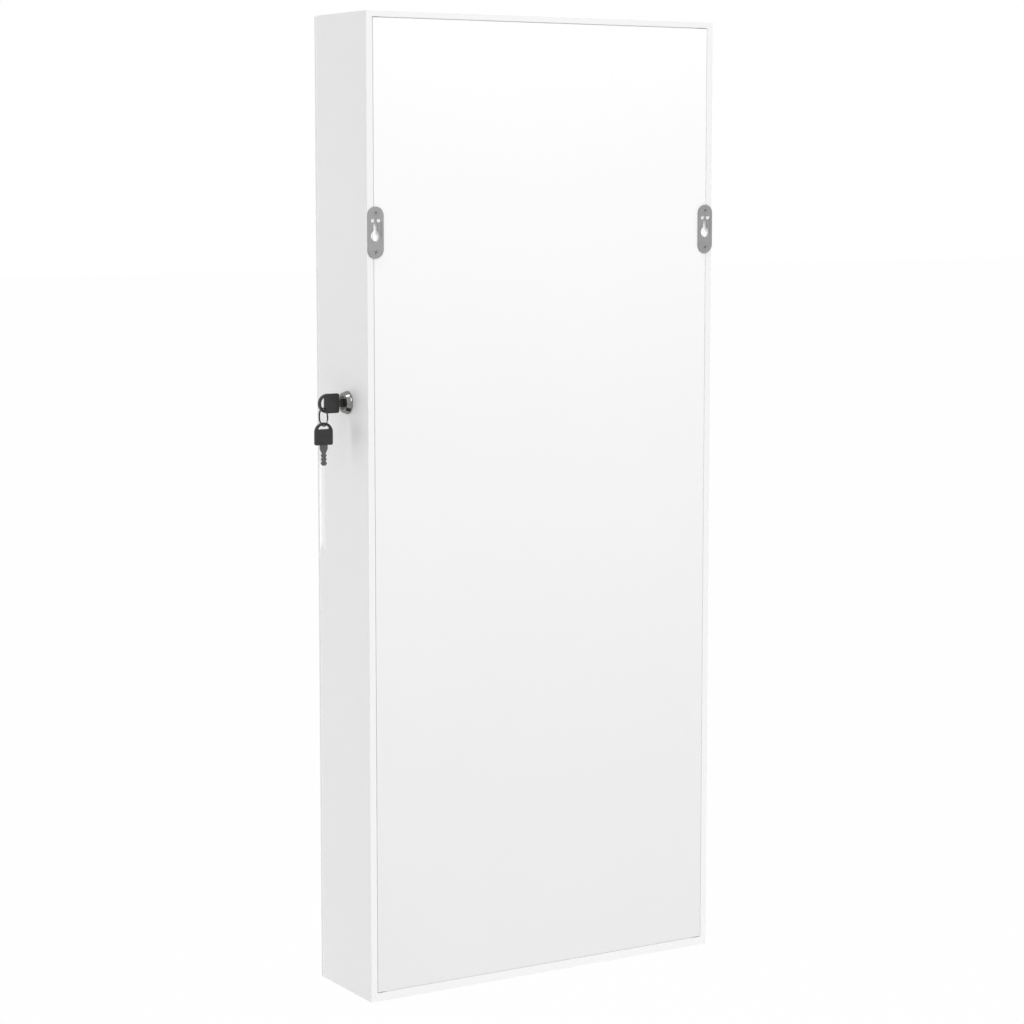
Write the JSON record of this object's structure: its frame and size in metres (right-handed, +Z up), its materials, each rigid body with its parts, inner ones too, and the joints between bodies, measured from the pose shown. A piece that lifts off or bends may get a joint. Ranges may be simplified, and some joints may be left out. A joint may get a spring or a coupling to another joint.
{
  "type": "jewelry mirror cabinet",
  "caption": "Shallow wall cabinet for jewelry: a full-size mirror door on side hinges, a cam lock with key, fitted racks, shelves and a ring cushion inside, keyhole hangers on the back.",
  "frame": {"origin": "on the wall, midway between the entry holes of the keyhole hangers", "axes": "+Z up, +Y into the wall, -Y out of the mirror, +X towards the lock side"},
  "size_m": [0.4139, 0.1015, 0.9],
  "materials": {
    "white_board": "white satin paint over fibreboard",
    "white_back": "smooth white faced hardboard",
    "dowel_wood": "bare beech",
    "mirror": "silvered float glass with ground edges",
    "tape": "white foam tape",
    "velvet": "black velvet",
    "acrylic": "clear polished acrylic",
    "steel": "zinc plated steel",
    "chrome": "polished chrome",
    "key_steel": "nickel plated",
    "black_plastic": "moulded black",
    "clear_rubber": "soft translucent",
    "white_plastic": "moulded white",
    "magnet": "ferrite with steel pole plates"
  },
  "bodies": {
    "cabinet": {"side_panel_left": "white_board", "side_panel_right": "white_board", "top_panel": "white_board", "bottom_panel": "white_board", "back_panel": "white_back", "corner_dowels": "dowel_wood", "hanger_plate_left": "steel", "hanger_plate_right": "steel", "hanger_screws": "steel", "door_bumpers": "clear_rubber", "cabinet_hinge_leaves": "steel", "hinge_pins": "steel", "cabinet_hinge_screws": "steel", "lock_housing": "chrome", "lock_nut": "steel", "back_lining": "velvet", "shelf_lower": "white_board", "shelf_middle": "white_board", "shelf_upper": "white_board", "shelf_rails": "acrylic", "bracelet_rod": "chrome", "rod_sockets": "chrome", "ring_tray": "white_board", "ring_cushion": "velvet", "necklace_rail": "white_board", "necklace_hooks": "chrome", "catch_housing": "white_plastic", "catch_magnet": "magnet"},
    "door": {"door_panel": "white_board", "mirror_glass": "mirror", "mirror_tape": "tape", "door_lining": "velvet", "door_hinge_leaves": "steel", "door_hinge_screws": "steel", "lock_keeper": "steel", "keeper_screws": "steel", "strike_plate": "steel", "strike_screws": "steel", "earring_rack_side_left": "white_board", "earring_rack_side_right": "white_board", "earring_strips": "acrylic", "door_hook_rail": "white_board", "door_hooks": "chrome", "door_tray": "acrylic"},
    "lock_barrel": {"lock_plug": "chrome", "lock_cam": "steel", "cam_screw": "steel"},
    "key": {"key_head": "black_plastic", "key_blade": "key_steel"},
    "ring": {"key_ring": "key_steel"},
    "spare_key": {"spare_key_head": "black_plastic", "spare_key_blade": "key_steel"}
  },
  "joints": [
    {"name": "door_swing", "type": "hinge", "parent": "cabinet", "child": "door", "pos_m": [-0.1904, -0.0978, -0.2515], "axis": [0, 0, -1], "range_deg": [0, 170]},
    {"name": "lock_turn", "type": "hinge", "parent": "cabinet", "child": "lock_barrel", "pos_m": [0.1875, -0.0413, -0.1515], "axis": [1, 0, 0], "range_deg": [0, 90]},
    {"name": "key_pull", "type": "slide", "parent": "lock_barrel", "child": "key", "axis": [1, 0, 0], "range_m": [0, 0.014]},
    {"name": "ring_swing", "type": "hinge", "parent": "key", "child": "ring", "pos_m": [0.2121, -0.0413, -0.15822], "axis": [1, 0, 0], "range_deg": [-90, 0]},
    {"name": "spare_key_swing", "type": "hinge", "parent": "ring", "child": "spare_key", "pos_m": [0.2121, -0.0413, -0.17175], "axis": [0, -1, 0], "range_deg": [-30, 60]}
  ],
  "couplings": [
    {"joint": "ring_swing", "follows": "lock_turn", "ratio": -1}
  ]
}
